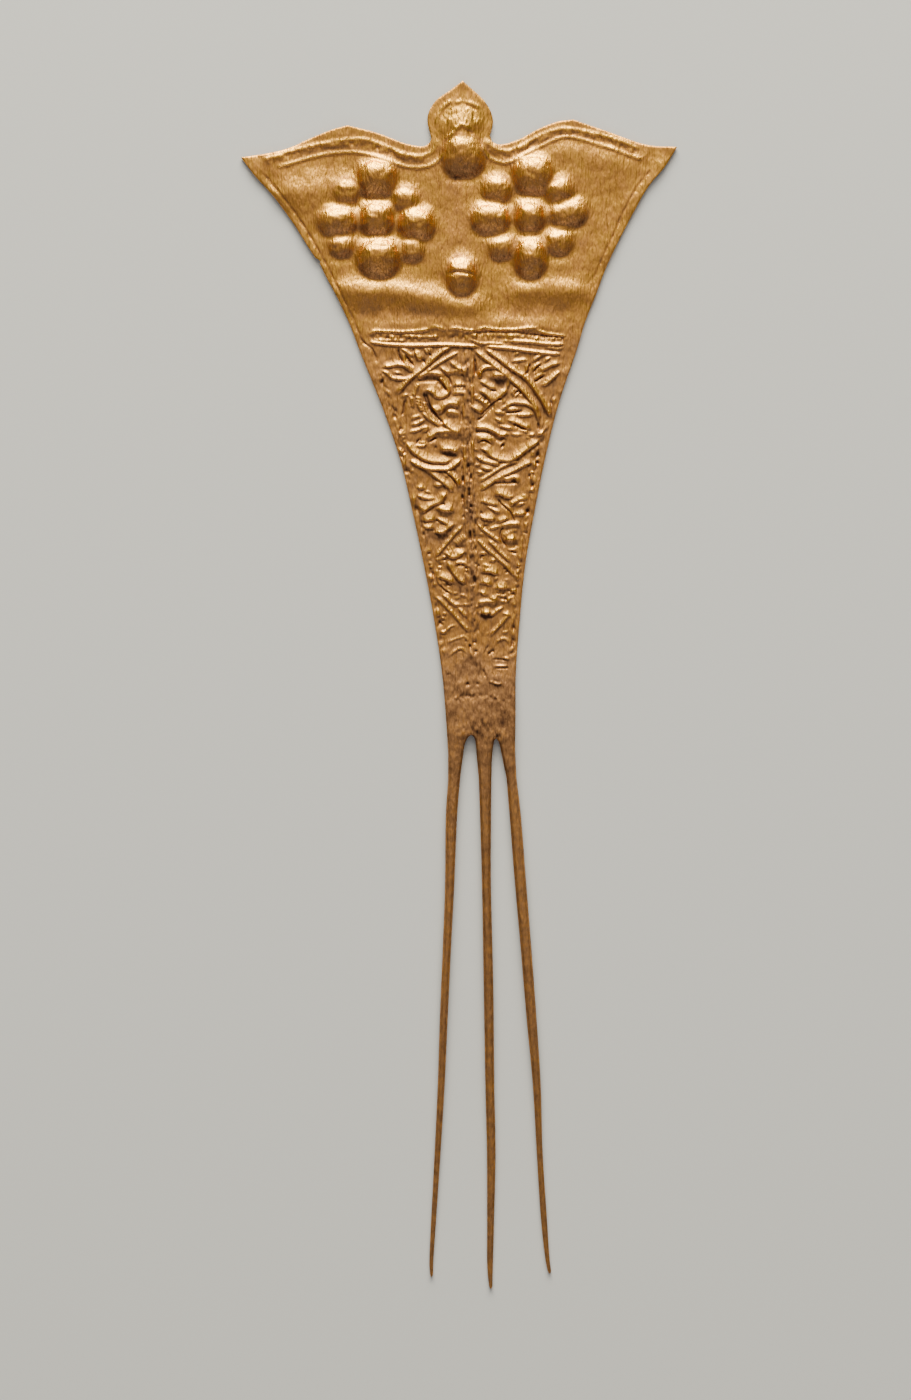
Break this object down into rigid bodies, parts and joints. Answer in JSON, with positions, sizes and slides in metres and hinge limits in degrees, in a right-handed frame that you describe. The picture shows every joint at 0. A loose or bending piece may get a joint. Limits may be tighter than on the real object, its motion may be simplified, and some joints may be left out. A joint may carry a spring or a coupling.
{
  "type": "three-pronged hairpin",
  "caption": "Flat gold hairpin whose fan-shaped head, beaten with round bosses and chased scrollwork, narrows to slim parting prongs that hold it in gathered hair.",
  "frame": {"origin": "under the middle of the outline, on the surface that the hairpin lies on with its plain back down", "axes": "+Y along the hairpin towards the finial, +X to the right wing as seen from the front, +Z out of the raised front"},
  "size_m": [0.0654, 0.1812, 0.0022],
  "materials": {
    "gold": "beaten and chased high-carat gold, worn bright on the raised work, brown dirt in the recesses"
  },
  "bodies": {
    "root": {"hairpin": "gold"}
  },
  "joints": []
}
